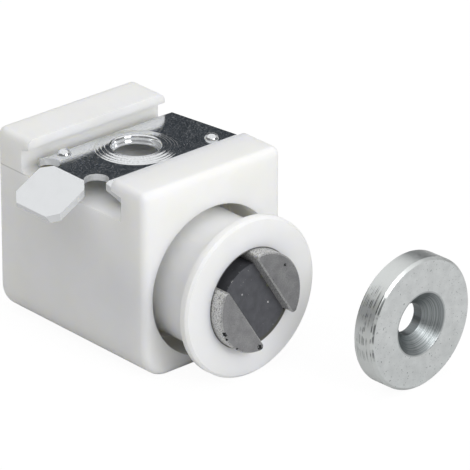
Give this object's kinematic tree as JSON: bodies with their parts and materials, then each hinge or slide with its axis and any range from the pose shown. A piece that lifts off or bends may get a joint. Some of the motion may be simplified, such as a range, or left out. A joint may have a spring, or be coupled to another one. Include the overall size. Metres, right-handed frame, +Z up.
{
  "type": "adjustable magnetic cupboard catch",
  "caption": "Magnetic cupboard catch: moulded block with a sliding fixing plate in its top channel, a round magnet barrel in its front bore and a countersunk strike disc.",
  "frame": {"origin": "middle of the housing's underside", "axes": "+Z up towards the cupboard panel, -Y towards the door, +X to the right seen from the door"},
  "size_m": [0.0349, 0.0468, 0.023],
  "materials": {
    "white_plastic": "satin",
    "barrel_plastic": "satin",
    "zinc_plate": "bright zinc",
    "pole_steel": "ground",
    "ferrite": "matt ceramic",
    "disc_zinc": "zinc plated"
  },
  "bodies": {
    "housing": {"housing": "white_plastic", "strike_disc": "disc_zinc"},
    "fixing_plate": {"fixing_plate": "zinc_plate"},
    "magnet_barrel": {"magnet_barrel": "barrel_plastic", "upper_pole_piece": "pole_steel", "lower_pole_piece": "pole_steel", "ferrite_magnet": "ferrite"}
  },
  "joints": [
    {"name": "plate_slide", "type": "slide", "parent": "housing", "child": "fixing_plate", "axis": [1, 0, 0], "range_m": [-0.009, 0.0015]},
    {"name": "barrel_slide", "type": "slide", "parent": "housing", "child": "magnet_barrel", "axis": [0, 1, 0], "range_m": [-0.006, 0.0051]}
  ]
}
